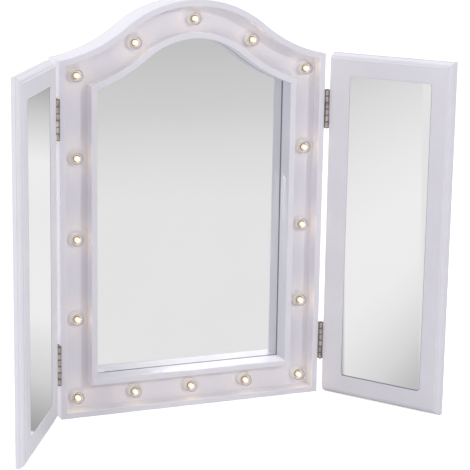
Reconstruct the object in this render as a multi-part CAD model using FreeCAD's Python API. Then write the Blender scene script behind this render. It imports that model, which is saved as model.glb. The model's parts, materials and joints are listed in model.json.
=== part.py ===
import FreeCAD, Part
import math
import os

# A free-standing tri-fold dressing-table mirror: an arched, lit centre panel and two hinged wings.
# +X is the viewer's right, +Y the back and +Z up. The origin is the middle of the centre panel's
# foot. Lengths are in millimetres, angles in degrees. "Inset" is a distance in from the centre
# panel's outline, measured square to it.

# Centre panel outline: straight sides, hollow shoulders and a round crown
centre_width = 362.5
shoulder_height = 462.5
arch_rise = 72.5
crown_radius = 150.5
shoulder_radius = 187.0

# Centre panel section
rim_thickness = 8.2
trough_width = 33.0
inner_rim_thickness = 8.0
trough_depth = 18.0
light_board_thickness = 8.0
mirror_lap = 8.0
glass_thickness = 3.0
batten_width = 8.0
back_thickness = 3.0

# Bulbs: white collar, clear globe, LED
bulbs_per_run = 5
globe_radius = 8.0
globe_wall = 0.8
globe_seat_height = 8.0
globe_centre_height = 12.0
collar_lip = 0.3
collar_flange_width = 1.2
collar_flange_height = 2.0
collar_rib_height = 1.2
collar_rib_depth = 0.6
stem_radius = 4.9
stem_clearance = 0.1
led_radius = 3.6
led_height = 7.0

# Wiring behind the light board
wire_radius = 1.4
wire_gap = 0.2
wire_bend_radius = 9.0

# Wings
wing_width = 178.5
wing_above_shoulder = 1.5
wing_thickness = 12.5
wing_border = 28.8
wing_mirror_recess = 1.0
pocket_corner_radius = 5.0
pocket_clearance = 0.3
moulding_radius = 6.0
moulding_step = 1.2
left_fold_angle = 61.2
right_fold_angle = 56.5

# Butt hinges
hinge_length = 51.0
hinge_end_distance = 73.0
hinge_axis_proud = 1.6
pin_radius = 1.3
pin_clearance = 0.05
pin_head_lip = 0.3
pin_head_height = 0.4
knuckle_count = 6
knuckle_wall = 1.25
knuckle_gap = 0.3
leaf_thickness = 1.2
leaf_setback = 1.15
leaf_screw_end = 10.5

# Screws
screw_shank_radius = 1.2
screw_clearance = 0.05
screw_tip_wall = 1.4
hinge_screw_head_lip = 1.1
back_screw_head_lip = 1.6
back_screw_head_height = 1.5
back_screw_grip = 10.0
back_screws_per_side = 4
back_screws_per_arch = 7

# Battery box let into the back panel
cell_radius = 7.1
cell_length = 49.0
cell_cap_radius = 2.6
cell_cap_height = 1.4
cell_spacing = 0.8
cell_count = 3
cell_gap = 0.3
contact_space = 3.2
contact_metal = 0.5
contact_bend_metal = 1.0
contact_width = 8.0
tray_wall = 2.6
tray_floor = 2.0
tray_flange_width = 4.0
tray_flange_thickness = 1.5
tray_clearance = 0.3
tray_height_on_panel = 120.0
battery_clearance = 1.0
cover_thickness = 2.0
cover_ledge = 1.2
cover_clearance = 0.3
cover_grip_count = 4
cover_grip_start = 6.0
cover_grip_pitch = 3.0
cover_grip_radius = 0.6
cover_grip_length = 14.0

# Slide switch beside the cells
switch_depth = 6.0
switch_cheek = 1.8
switch_end_wall = 2.3
switch_margin = 5.3
slider_length = 4.0
slider_width = 3.0
slider_travel = 4.0
slider_clearance = 0.2
slider_proud = 1.8
slot_floor = 2.4

# Sizes that follow from the driving ones
half_width = centre_width / 2
apex_height = shoulder_height + arch_rise
inner_rim_inset = rim_thickness + trough_width
mirror_edge_inset = inner_rim_inset + inner_rim_thickness
bulb_inset = rim_thickness + trough_width / 2
back_screw_inset = rim_thickness / 2
globe_rise = globe_centre_height - globe_seat_height
collar_neck_radius = math.sqrt(globe_radius ** 2 - globe_rise ** 2) + collar_lip
cell_pitch = 2 * cell_radius + cell_spacing
cell_bay_depth = 2 * cell_radius + 2 * cell_gap
tray_depth = tray_floor + cell_bay_depth + cover_thickness
behind_mirror = battery_clearance + tray_depth - tray_flange_thickness - back_thickness
frame_depth = trough_depth + light_board_thickness + glass_thickness + behind_mirror
front_y = -(frame_depth + back_thickness) / 2
floor_y = front_y + trough_depth
mirror_y = floor_y + light_board_thickness
mirror_back_y = mirror_y + glass_thickness
back_panel_y = front_y + frame_depth
back_y = back_panel_y + back_thickness
barrel_radius = pin_radius + pin_clearance + knuckle_wall
hinge_x = half_width + barrel_radius
hinge_y = front_y - hinge_axis_proud
leaf_width = hinge_axis_proud + wing_thickness - leaf_setback
leaf_screw_line = hinge_axis_proud + wing_thickness / 2
hinge_screw_grip = rim_thickness - screw_tip_wall
wing_height = shoulder_height + wing_above_shoulder
wing_x = (hinge_x + barrel_radius, hinge_x + barrel_radius + wing_width)
wing_z = (0, wing_height)
pocket_depth = glass_thickness + wing_mirror_recess
moulding_width = moulding_step + moulding_radius
slot_length = slider_length + slider_travel + 2 * slider_clearance
slot_width = slider_width + 2 * slider_clearance
switch_length = slot_length + 2 * switch_end_wall
switch_width = slot_width + 2 * switch_cheek

UP = FreeCAD.Vector(0, 0, 1)
RIGHT = FreeCAD.Vector(1, 0, 0)
BACK = FreeCAD.Vector(0, 1, 0)
TINY = 1e-6
parts = {}


def at(x, y, z):
    return FreeCAD.Vector(x, y, z)


def box(x, y, z):
    """A block between two limits along each axis."""
    return Part.makeBox(x[1] - x[0], y[1] - y[0], z[1] - z[0], at(x[0], y[0], z[0]))


def grown(limits, amount):
    return limits[0] - amount, limits[1] + amount


def centred(middle, length):
    return middle - length / 2, middle + length / 2


def face_of(edges):
    return Part.Face(Part.Wire(Part.__sortEdges__(edges)))


def polygon(points):
    return Part.Face(Part.makePolygon(list(points) + [points[0]]))


def arc(start, middle, end):
    return Part.Arc(start, middle, end).toShape()


def line(start, end):
    return Part.LineSegment(start, end).toShape()


def slab(face, y_from, y_to):
    """A face drawn in the plane y = 0, thickened between two depths."""
    return face.translated(at(0, y_from, 0)).extrude(at(0, y_to - y_from, 0))


def rounded_slab(x, y, z, radius):
    """A block whose four edges along Y are rounded."""
    block = box(x, y, z)
    corners = []
    for edge in block.Edges:
        if edge.tangentAt(edge.FirstParameter).cross(BACK).Length < TINY:
            corners.append(edge)
    return block.makeFillet(radius, corners)


# The arched outline

def shoulder_centre():
    """Centre of the right shoulder's circle, which touches the crown's circle and the corner."""
    crown_z = apex_height - crown_radius
    dz = shoulder_height - crown_z
    distance = math.hypot(half_width, dz)
    reach = crown_radius + shoulder_radius
    along = (reach ** 2 - shoulder_radius ** 2 + distance ** 2) / (2 * distance)
    across = math.sqrt(reach ** 2 - along ** 2)
    x = (along * half_width - across * dz) / distance
    z = crown_z + (along * dz + across * half_width) / distance
    return x, z


def corner(inset):
    """Half width and height of the shoulder corner of the outline at an inset."""
    x_centre, z_centre = shoulder_centre()
    x = half_width - inset
    return x, z_centre - math.sqrt((shoulder_radius + inset) ** 2 - (x - x_centre) ** 2)


def arch_edges(inset):
    """The outline's top, from the left corner over the crown to the right corner."""
    x_centre, z_centre = shoulder_centre()
    crown_z = apex_height - crown_radius
    x_corner, z_corner = corner(inset)
    share = (crown_radius - inset) / (crown_radius + shoulder_radius)
    x_join = x_centre * share
    z_join = crown_z + (z_centre - crown_z) * share
    x_chord = (x_corner + x_join) / 2 - x_centre
    z_chord = (z_corner + z_join) / 2 - z_centre
    stretch = (shoulder_radius + inset) / math.hypot(x_chord, z_chord)
    x_mid = x_centre + x_chord * stretch
    z_mid = z_centre + z_chord * stretch
    top = at(0, 0, apex_height - inset)
    return [
        arc(at(-x_corner, 0, z_corner), at(-x_mid, 0, z_mid), at(-x_join, 0, z_join)),
        arc(at(-x_join, 0, z_join), top, at(x_join, 0, z_join)),
        arc(at(x_join, 0, z_join), at(x_mid, 0, z_mid), at(x_corner, 0, z_corner)),
    ]


def outline(inset):
    """The whole arched outline as a face."""
    x, z = corner(inset)
    foot_left = at(-x, 0, inset)
    foot_right = at(x, 0, inset)
    sides = [line(foot_left, at(-x, 0, z)), line(at(x, 0, z), foot_right), line(foot_right, foot_left)]
    return face_of(arch_edges(inset) + sides)


def rim_faces(inset, thickness):
    """A rim of four mitred strips that follows the outline: two stiles, a rail and an arch."""
    foot_out = inset
    foot_in = inset + thickness
    x_out, z_out = corner(foot_out)
    x_in, z_in = corner(foot_in)
    ends = [line(at(side * x_out, 0, z_out), at(side * x_in, 0, z_in)) for side in (-1, 1)]
    stile = [(x_out, foot_out), (x_in, foot_in), (x_in, z_in), (x_out, z_out)]
    rail = [(-x_out, foot_out), (x_out, foot_out), (x_in, foot_in), (-x_in, foot_in)]
    return {
        "left_stile": polygon([at(-x, 0, z) for x, z in stile]),
        "right_stile": polygon([at(x, 0, z) for x, z in stile]),
        "bottom_rail": polygon([at(x, 0, z) for x, z in rail]),
        "arch_rail": face_of(arch_edges(foot_out) + arch_edges(foot_in) + ends),
    }


def along_arch(inset, count):
    """Points spaced evenly over the arch, both corners included."""
    stops = Part.Wire(arch_edges(inset)).discretize(Number=count)
    return [(stop.x, stop.z) for stop in stops]


def run_points(inset, count):
    """Points spaced evenly along each straight or arched run at an inset, corners taken once."""
    x, z = corner(inset)
    steps = count - 1
    points = along_arch(inset, count)
    for step in range(1, steps):
        height = inset + (z - inset) * step / steps
        points += [(-x, height), (x, height)]
    points += [(-x + 2 * x * step / steps, inset) for step in range(count)]
    return points


# Screws

def screw(point, way, head, grip, sunk, grow):
    """A screw whose head, given by radius and height, starts at a point; the shank runs along a way.

    Growing the screw gives its hole.
    """
    head_radius, head_height = head
    small = screw_shank_radius + grow
    if sunk:
        top = Part.makeCone(head_radius + grow, small, head_height, point, way)
    else:
        top = Part.makeCylinder(head_radius + grow, head_height, point, way)
    shank = Part.makeCylinder(small, grip + grow, point + way * head_height, way)
    return top.fuse(shank)


def back_screws(grow=0.0):
    """The back panel's screws, round its whole edge, or their holes."""
    x, z = corner(back_screw_inset)
    spots = along_arch(back_screw_inset, back_screws_per_arch + 2)[1:-1]
    for step in range(back_screws_per_side):
        share = (step + 0.5) / back_screws_per_side
        height = back_screw_inset + (z - back_screw_inset) * share
        spots += [(-x, height), (x, height), (x * (2 * share - 1), back_screw_inset)]
    head = (screw_shank_radius + back_screw_head_lip, back_screw_head_height)
    rear = back_y + back_screw_head_height
    grip = back_thickness + back_screw_grip
    return [screw(at(spot_x, rear, spot_z), -BACK, head, grip, False, grow) for spot_x, spot_z in spots]


def without(shape, holes):
    """A shape with those holes taken out that reach it."""
    near = [hole for hole in holes if hole.BoundBox.intersect(shape.BoundBox)]
    return shape.cut(near) if near else shape


# Bulbs, drawn at the origin and facing -Y

def turned(profile):
    """A solid turned about the bulb's axis from points of radius and height above the floor."""
    section = polygon([at(radius, -height, 0) for radius, height in profile])
    return section.revolve(at(0, 0, 0), BACK, 360)


def collar():
    neck = collar_neck_radius
    flange = neck + collar_flange_width
    rib = neck + collar_rib_depth
    rib_foot = (collar_flange_height + globe_seat_height - collar_rib_height) / 2
    rib_top = rib_foot + collar_rib_height
    stem_end = -light_board_thickness - glass_thickness
    return turned([
        (0, stem_end), (stem_radius, stem_end), (stem_radius, 0), (flange, 0),
        (flange, collar_flange_height), (neck, collar_flange_height),
        (neck, rib_foot), (rib, rib_foot), (rib, rib_top), (neck, rib_top),
        (neck, globe_seat_height), (0, globe_seat_height),
    ])


def globe():
    """A hollow clear globe, open where it seats on its collar."""
    def shell_arc(radius):
        start = at(math.sqrt(radius ** 2 - globe_rise ** 2), -globe_seat_height, 0)
        middle = at(radius, -globe_centre_height, 0)
        return arc(start, middle, at(0, -globe_centre_height - radius, 0))

    outer = shell_arc(globe_radius)
    inner = shell_arc(globe_radius - globe_wall)
    ends = [line(outer.Vertexes[i].Point, inner.Vertexes[i].Point) for i in (0, 1)]
    return face_of([outer, inner] + ends).revolve(at(0, 0, 0), BACK, 360)


def led():
    """A round-nosed LED that stands on the collar inside the globe."""
    nose = globe_seat_height + led_height
    brow = nose - led_radius
    bevel = led_radius * math.sqrt(0.5)
    side = line(at(led_radius, -globe_seat_height, 0), at(led_radius, -brow, 0))
    lens = arc(at(led_radius, -brow, 0), at(bevel, -brow - bevel, 0), at(0, -nose, 0))
    axis = line(at(0, -nose, 0), at(0, -globe_seat_height, 0))
    foot = line(at(0, -globe_seat_height, 0), at(led_radius, -globe_seat_height, 0))
    return face_of([side, lens, axis, foot]).revolve(at(0, 0, 0), BACK, 360)


def at_bulbs(shape):
    places = [at(x, floor_y, z) for x, z in run_points(bulb_inset, bulbs_per_run)]
    return [shape.translated(place) for place in places]


# Battery box, cover and switch, in the plane of the back panel

def battery_layout():
    """Limits along X and Z of the cell bay and of the whole tray, and the switch's middle along X."""
    bay_length = cell_length + cell_cap_height + 2 * contact_space
    bay_height = cell_count * cell_pitch + 2 * cell_gap
    switch_bay = switch_width + 2 * switch_margin
    bay_x = centred(-switch_bay / 2, bay_length)
    bay_z = centred(tray_height_on_panel, bay_height)
    tray_x = (bay_x[0] - tray_wall, bay_x[1] + switch_bay)
    tray_z = grown(bay_z, tray_wall)
    return bay_x, bay_z, tray_x, tray_z, bay_x[1] + switch_bay / 2


def battery_box_and_cover():
    bay_x, bay_z, tray_x, tray_z, switch_x = battery_layout()
    rear = back_y + tray_flange_thickness
    front = rear - tray_depth
    seat = rear - cover_thickness
    mouth_x = grown(bay_x, cover_ledge)
    mouth_z = grown(bay_z, cover_ledge)
    tray = box(tray_x, (front, rear), tray_z)
    flange = box(grown(tray_x, tray_flange_width), (back_y, rear), grown(tray_z, tray_flange_width))
    bay = box(bay_x, (front + tray_floor, rear), bay_z)
    mouth = box(mouth_x, (seat, rear), mouth_z)
    switch_hole = box(centred(switch_x, switch_width), (rear - switch_depth, rear),
                      centred(tray_height_on_panel, switch_length))
    parts["battery_box"] = tray.fuse(flange).cut([bay, mouth, switch_hole]).removeSplitter()

    cover = box(grown(mouth_x, -cover_clearance), (seat, rear), grown(mouth_z, -cover_clearance))
    grip_x = (bay_x[0] + bay_x[1] - cover_grip_length) / 2
    grips = []
    for index in range(cover_grip_count):
        start = at(grip_x, rear, bay_z[0] + cover_grip_start + index * cover_grip_pitch)
        grips.append(Part.makeCylinder(cover_grip_radius, cover_grip_length, start, RIGHT))
    parts["battery_cover"] = cover.cut(grips)


def contact_leaf(x_wall, inward, y, z):
    """A bent leaf spring on an end wall of the bay, whose bend faces the cell."""
    tip = x_wall + inward * (contact_space - cell_gap)
    metal = inward * contact_metal
    low = y - cell_radius
    high = y + cell_radius
    profile = [
        (x_wall, low), (x_wall + metal, low), (tip, y),
        (x_wall + metal, high), (x_wall, high), (tip - inward * contact_bend_metal, y),
    ]
    return polygon([at(px, py, z - contact_width / 2) for px, py in profile]).extrude(UP * contact_width)


def cells_and_contacts():
    """Cells that lie side by side, turned end for end, with a contact at each end of each."""
    bay_x, bay_z = battery_layout()[:2]
    rear = back_y + tray_flange_thickness
    y = rear - tray_depth + tray_floor + cell_gap + cell_radius
    cells = []
    contacts = []
    for index in range(cell_count):
        z = bay_z[0] + cell_gap + (index + 0.5) * cell_pitch
        start = at(bay_x[0] + contact_space, y, z)
        can = Part.makeCylinder(cell_radius, cell_length, start, RIGHT)
        cap = Part.makeCylinder(cell_cap_radius, cell_cap_height, start + RIGHT * cell_length, RIGHT)
        cell = can.fuse(cap)
        if index % 2:
            cell.rotate(at((bay_x[0] + bay_x[1]) / 2, y, z), UP, 180)
        cells.append(cell)
        contacts.append(contact_leaf(bay_x[0], 1, y, z))
        contacts.append(contact_leaf(bay_x[1], -1, y, z))
    parts["battery_cells"] = Part.makeCompound(cells)
    parts["battery_contacts"] = Part.makeCompound(contacts)


def switch():
    """The switch's body, sunk flush in the box, and its slider at the upper end of the slot."""
    switch_x = battery_layout()[4]
    rear = back_y + tray_flange_thickness
    slot_front = rear - switch_depth + slot_floor
    slot_z = centred(tray_height_on_panel, slot_length)
    body = box(centred(switch_x, switch_width), (rear - switch_depth, rear),
               centred(tray_height_on_panel, switch_length))
    parts["switch_body"] = body.cut(box(centred(switch_x, slot_width), (slot_front, rear), slot_z))

    slider_y = (slot_front + slider_clearance, rear + slider_proud)
    slider_top = slot_z[1] - slider_clearance
    slider = box(centred(switch_x, slider_width), slider_y, (slider_top - slider_length, slider_top))
    crest = []
    for edge in slider.Edges:
        middle = edge.CenterOfMass
        if middle.y > slider_y[1] - TINY and abs(middle.x - switch_x) < TINY:
            crest.append(edge)
    parts["switch_slider"] = slider.makeFillet(slider_proud / 2, crest)


# Wiring

def bent_path(points, radius):
    """Straight runs joined by tangent arcs, in the plane of the points."""
    edges = []
    start = points[0]
    for before, here, after in zip(points, points[1:], points[2:]):
        back = (before - here).normalize()
        ahead = (after - here).normalize()
        half_turn = (math.pi - back.getAngle(ahead)) / 2
        setback = radius * math.tan(half_turn)
        inward = (back + ahead).normalize()
        middle = here + inward * (radius / math.cos(half_turn) - radius)
        edges.append(line(start, here + back * setback))
        edges.append(arc(here + back * setback, middle, here + ahead * setback))
        start = here + ahead * setback
    edges.append(line(start, points[-1]))
    return Part.Wire(edges)


def wiring():
    """One lead from the battery box that passes behind every bulb in turn."""
    y = mirror_back_y + wire_gap + wire_radius
    x, z = corner(bulb_inset)
    bulb_step = 2 * x / (bulbs_per_run - 1)
    tray_z = battery_layout()[3]
    start_z = tray_z[0] - wire_gap
    stops = [(0, start_z), (0, bulb_inset), (-x, bulb_inset), (-x, z)]
    stops += along_arch(bulb_inset, bulbs_per_run)[1:-1]
    stops += [(x, z), (x, bulb_inset), (bulb_step, bulb_inset)]
    path = bent_path([at(stop_x, y, stop_z) for stop_x, stop_z in stops], wire_bend_radius)
    section = Part.Wire(Part.makeCircle(wire_radius, at(0, y, start_z), UP))
    return path.makePipeShell([section], True, False)


# Wings, drawn flat beside the centre panel on the right, then folded

def moulding_cutter():
    """What the router takes off an edge: the waste outside a stepped quarter-round.

    X is the distance in from the edge and Y the depth from the face.
    """
    spare = moulding_radius
    shoulder = moulding_step + moulding_radius * (1 - math.sqrt(0.5))
    points = [at(moulding_width, moulding_step, 0), at(moulding_width, -spare, 0), at(-spare, -spare, 0),
              at(-spare, moulding_width, 0), at(moulding_step, moulding_width, 0)]
    sides = [line(start, end) for start, end in zip(points, points[1:])]
    return face_of([arc(points[0], at(shoulder, shoulder, 0), points[-1])] + sides)


def wing_board():
    """A board with a mirror pocket and a moulding on every edge but the hinged one."""
    y = (front_y, front_y + wing_thickness)
    spare = moulding_width
    length = RIGHT * (wing_width + 2 * spare)
    height = UP * (wing_height + 2 * spare)
    start_x = wing_x[0] - spare
    cutters = []
    for place, turn, way in (
        (at(wing_x[1], y[0], -spare), 180, height),
        (at(start_x, y[0], wing_z[0]), -90, length),
        (at(start_x, y[0], wing_z[1]), 90, length),
    ):
        profile = moulding_cutter()
        profile.Placement = FreeCAD.Placement(place, FreeCAD.Rotation(BACK, turn))
        cutters.append(profile.extrude(way))
    pocket = rounded_slab(grown(wing_x, -wing_border), (y[0], y[0] + pocket_depth),
                          grown(wing_z, -wing_border), pocket_corner_radius)
    return box(wing_x, y, wing_z).cut(cutters + [pocket])


def wing_mirror():
    inset = -wing_border - pocket_clearance
    rear = front_y + pocket_depth
    return rounded_slab(grown(wing_x, inset), (rear - glass_thickness, rear), grown(wing_z, inset),
                        pocket_corner_radius - pocket_clearance)


# Hinges, drawn on the right with the wing flat

def barrel(z_from, z_to, radius):
    return Part.makeCylinder(radius, z_to - z_from, at(hinge_x, hinge_y, z_from), UP)


def knuckles(foot, first, radius, spare):
    """Every second knuckle of the barrel, lengthened at both ends by a spare amount."""
    pitch = hinge_length / knuckle_count
    rings = []
    for index in range(first, knuckle_count, 2):
        low = foot + index * pitch
        rings.append(barrel(low - spare, low + pitch + spare, radius))
    return rings


def leaf_screws(foot, side, grow=0.0):
    """The screws of one leaf, or their holes: side 1 goes into the wing, side -1 into the stile."""
    x = hinge_x + side * (barrel_radius - leaf_thickness)
    y = hinge_y + leaf_screw_line
    head = (screw_shank_radius + hinge_screw_head_lip, leaf_thickness)
    heights = (foot + leaf_screw_end, foot + hinge_length - leaf_screw_end)
    return [screw(at(x, y, z), RIGHT * side, head, hinge_screw_grip, True, grow) for z in heights]


def hinge_leaf(foot, side):
    """A leaf with its own knuckles, cut clear of the other leaf's: side 1 is the wing's."""
    outer = hinge_x + side * barrel_radius
    inner = outer - side * leaf_thickness
    own = 0 if side == 1 else 1
    top = foot + hinge_length
    plate = box(sorted((outer, inner)), (hinge_y, hinge_y + leaf_width), (foot, top))
    plate = plate.cut(knuckles(foot, 1 - own, barrel_radius + knuckle_gap, knuckle_gap / 2))
    leaf = plate.fuse(knuckles(foot, own, barrel_radius, -knuckle_gap / 2))
    bore = barrel(foot, top, pin_radius + pin_clearance)
    return leaf.cut([bore] + leaf_screws(foot, side, screw_clearance)).removeSplitter()


def hinge_pin(foot):
    low = foot - knuckle_gap
    high = foot + hinge_length + knuckle_gap
    head_radius = pin_radius + pin_head_lip
    heads = [barrel(end - pin_head_height, end, head_radius) for end in (low, high + pin_head_height)]
    return barrel(low, high, pin_radius).fuse(heads)


hinge_feet = {
    "lower": hinge_end_distance - hinge_length / 2,
    "upper": shoulder_height - hinge_end_distance - hinge_length / 2,
}


def to_side(shape, side):
    """A right-hand shape, or its mirror image on the left."""
    return shape if side == "right" else shape.mirror(at(0, 0, 0), RIGHT)


def folded(shape, side):
    """A flat right-hand wing piece put on its side and turned forward to the rest angle."""
    turn = -right_fold_angle if side == "right" else left_fold_angle
    x = hinge_x if side == "right" else -hinge_x
    moved = to_side(shape, side).copy()
    moved.rotate(at(x, hinge_y, 0), UP, turn)
    return moved


# Build the centre panel

back_screw_holes = back_screws(screw_clearance)
stile_screw_holes = []
for foot in hinge_feet.values():
    for hole in leaf_screws(foot, -1, screw_clearance):
        stile_screw_holes += [to_side(hole, side) for side in ("left", "right")]

for name, face in rim_faces(0, rim_thickness).items():
    strip = slab(face, front_y, back_panel_y)
    parts["outer_" + name] = without(strip, back_screw_holes + stile_screw_holes)
for name, face in rim_faces(inner_rim_inset, inner_rim_thickness).items():
    parts["inner_" + name] = slab(face, front_y, floor_y)

ring = outline(rim_thickness).cut(outline(mirror_edge_inset)).Faces[0]
bulb_hole = Part.makeCylinder(stem_radius + stem_clearance, light_board_thickness, at(0, 0, 0), BACK)
parts["light_board"] = slab(ring, floor_y, mirror_y).cut(at_bulbs(bulb_hole))
parts["centre_mirror"] = slab(outline(mirror_edge_inset - mirror_lap), mirror_y, mirror_back_y)

batten_inset = rim_thickness + batten_width
batten_y = (mirror_y, back_panel_y)
side_batten_x = (half_width - batten_inset, half_width - rim_thickness)
batten_top = corner(batten_inset)[1]
parts["right_batten"] = box(side_batten_x, batten_y, (rim_thickness, batten_top))
parts["left_batten"] = to_side(parts["right_batten"], "left")
parts["bottom_batten"] = box(centred(0, 2 * side_batten_x[0]), batten_y, (rim_thickness, batten_inset))

tray_x, tray_z = battery_layout()[2:4]
tray_hole = box(grown(tray_x, tray_clearance), (back_panel_y, back_y), grown(tray_z, tray_clearance))
parts["back_panel"] = slab(outline(0), back_panel_y, back_y).cut([tray_hole] + back_screw_holes)
parts["back_panel_screws"] = Part.makeCompound(back_screws())
battery_box_and_cover()
cells_and_contacts()
switch()
parts["wiring_loom"] = wiring()
parts["bulb_collars"] = Part.makeCompound(at_bulbs(collar()))
parts["bulb_globes"] = Part.makeCompound(at_bulbs(globe()))
parts["bulb_leds"] = Part.makeCompound(at_bulbs(led()))

# Build the hinges and the wings

wing_screw_holes = []
for foot in hinge_feet.values():
    wing_screw_holes += leaf_screws(foot, 1, screw_clearance)
board = wing_board().cut(wing_screw_holes)
centre_screws = []
for side in ("left", "right"):
    wing_screws = []
    for level, foot in hinge_feet.items():
        hinge = side + "_" + level + "_hinge"
        parts[hinge + "_centre_leaf"] = to_side(hinge_leaf(foot, -1), side)
        parts[hinge + "_wing_leaf"] = folded(hinge_leaf(foot, 1), side)
        parts[hinge + "_pin"] = to_side(hinge_pin(foot), side)
        centre_screws += [to_side(part, side) for part in leaf_screws(foot, -1)]
        wing_screws += [folded(part, side) for part in leaf_screws(foot, 1)]
    parts[side + "_wing_board"] = folded(board, side)
    parts[side + "_wing_mirror"] = folded(wing_mirror(), side)
    parts[side + "_wing_hinge_screws"] = Part.makeCompound(wing_screws)
parts["centre_hinge_screws"] = Part.makeCompound(centre_screws)

os.makedirs("parts", exist_ok=True)
for name, shape in parts.items():
    shape.exportStep(os.path.join("parts", name + ".step"))
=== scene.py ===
"""A lit tri-fold dressing-table mirror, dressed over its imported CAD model."""
import json
import math

import bmesh
import bpy
from mathutils import Matrix, Vector

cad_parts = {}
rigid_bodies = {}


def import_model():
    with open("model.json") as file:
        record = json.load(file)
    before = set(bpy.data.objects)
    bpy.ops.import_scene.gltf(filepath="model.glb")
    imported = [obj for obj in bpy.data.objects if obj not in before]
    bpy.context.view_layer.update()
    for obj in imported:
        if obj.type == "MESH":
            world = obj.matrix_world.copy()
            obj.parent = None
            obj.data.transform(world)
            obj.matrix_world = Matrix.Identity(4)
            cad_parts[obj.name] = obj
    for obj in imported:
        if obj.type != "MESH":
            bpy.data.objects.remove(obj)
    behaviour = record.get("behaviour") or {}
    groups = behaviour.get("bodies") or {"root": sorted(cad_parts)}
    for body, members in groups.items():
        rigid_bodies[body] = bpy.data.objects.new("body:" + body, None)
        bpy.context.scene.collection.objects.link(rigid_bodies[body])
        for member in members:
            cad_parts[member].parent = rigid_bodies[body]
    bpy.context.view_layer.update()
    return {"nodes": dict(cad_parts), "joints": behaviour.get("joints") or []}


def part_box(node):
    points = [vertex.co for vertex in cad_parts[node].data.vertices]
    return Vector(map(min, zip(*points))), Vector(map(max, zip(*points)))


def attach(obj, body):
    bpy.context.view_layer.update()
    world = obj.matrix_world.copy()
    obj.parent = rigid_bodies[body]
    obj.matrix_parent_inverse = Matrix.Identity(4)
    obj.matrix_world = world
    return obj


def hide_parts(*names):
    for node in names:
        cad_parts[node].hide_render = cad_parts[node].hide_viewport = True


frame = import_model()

bl_info = {
    "name": "Lit tri-fold dressing mirror",
    "version": (1, 0, 0),
    "blender": (4, 5, 0),
    "location": "View3D > Sidebar > Mirror",
    "description": "Builds the rims, wings, mirrors, bulbs and screws of a lit tri-fold mirror",
    "category": "Add Mesh",
}

IMAGE_PIXELS = 470
SENSOR_WIDTH = 36.0
CENTRE = "centre_panel"
SIDES = ("left", "right")
RIM_MEMBERS = ("left_stile", "right_stile", "bottom_rail", "arch_rail")
HINGE_PLACES = ("left_upper", "left_lower", "right_upper", "right_lower")
KNUCKLES = 6
# Squares of the distances from a hinge's axis over which the grime on its barrel ends
BARREL_SQUARES = (8.0e-6, 1.0e-5)
SHARP_ANGLE = 38.0
SCREW_SHARP_ANGLE = 30.0
MERGE_DISTANCE = 1e-7
# The paint on the walls round the centre mirror: its thickness, where it starts behind the front in radii
# of the rim's edge, and where the lower wall's left end, which the mirror doesn't show, is parted from it
PAINT_FILM = 0.00015
FILM_START = 1.3
CORNER_X = -0.113
MOULDING_STEPS = 7
GLASS_PLAY = 0.0003
RIBS = 3
SOCKET_LIP = 0.0011
SOCKET_DEPTH = 0.0012
LIP_EDGE = 0.0004
LED_ROOT = 0.001
LED_PLAY = 0.00005
DISH_EDGE = 0.0012
DISH_SINK = 0.0007
# Steps along a globe's arc and an LED's nose, and round the rings in a bulb, an LED and a screw
GLOBE_STEPS = 18
NOSE_STEPS = 8
RING_STEPS = 32
SMALL_TURN_STEPS = 24
TO_FRONT, TO_BACK = (0.0, -1.0, 0.0), (0.0, 1.0, 0.0)
# The pieces that the mirrors show, and the greys that they show of the floor behind, before and beside
# the object, by metres along a run over the floor: painted light and shade, darker close behind and
# beside it
REFLECTED = ("reveal_right_stile", "reveal_bottom_rail", "reveal_arch_rail", "joint_right_stile",
             "joint_bottom_rail", "joint_arch_rail", "right_wing_mirror_bead")
FLOOR_BEHIND = ((0.0, 0.385), (0.15, 0.684), (0.40, 0.908), (1.0, 0.891), (1.45, 0.916), (2.5, 0.435))
FLOOR_BEFORE = ((0.0, 0.857), (1.25, 0.855), (2.0, 0.771), (2.6, 0.688), (4.2, 0.597))
FLOOR_BESIDE = ((0.0, 0.577), (0.15, 0.732), (0.27, 0.815), (0.40, 0.886), (0.55, 0.929), (0.95, 0.939),
                (1.45, 0.90), (1.95, 0.839), (2.55, 0.775), (3.35, 0.676))
FLOOR_RUN = 6.0
# Where these runs start, how they lean, and the edges at which one of them gives way to the next
BESIDE_START, BESIDE_LEAN = 0.598, 2.9
BEFORE_LEAN, BEFORE_EDGE = 0.1, (0.176, 0.182)
BEHIND_START, BEHIND_LEAN, BEHIND_EDGE = 0.06, 0.054, (-0.0678, -0.0625)
LIGHTS = (
    ("key_light", (2.39, -5.2, 2.75), 0.30, 68.0),
    ("left_light", (-1.6, -1.3, 0.5), 0.8, 6.2),
    ("top_light", (0.2, 0.3, 2.2), 1.2, 11.0),
    ("rear_light", (-2.0, 0.8, 0.7), 0.8, 12.5),
)
LIGHTS_AIM = (0.0, 0.0, 0.25)
LEDGE_LIGHT_PLACE = (0.045, -0.008, 0.30)
LEDGE_LIGHT_SIZE = (0.19, 0.012)
LEDGE_LIGHT_SPREAD = 40.0
LEDGE_LIGHT_POWER = 0.036
LED_LAMP_RADIUS = 0.0022
LED_LAMP_AHEAD = 0.0025


def length(name, description, default):
    """A length in metres that a user may change."""
    return bpy.props.FloatProperty(name=name, description=description, default=default, min=0.0,
                                   precision=5, unit="LENGTH")


def colour(name, description, *default):
    """A linear colour that a user may change."""
    return bpy.props.FloatVectorProperty(name=name, description=description, default=default + (1.0,),
                                         size=4, min=0.0, max=1.0, subtype="COLOR")


def count(name, description, default, least):
    """A whole number that a user may change."""
    return bpy.props.IntProperty(name=name, description=description, default=default, min=least)


def angle(name, description, degrees):
    """An angle that a user may change."""
    return bpy.props.FloatProperty(name=name, description=description, default=math.radians(degrees),
                                   subtype="ANGLE")


def level(name, description, default, subtype="NONE"):
    """A positive number that a user may change."""
    return bpy.props.FloatProperty(name=name, description=description, default=default, min=0.0,
                                   subtype=subtype)


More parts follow.
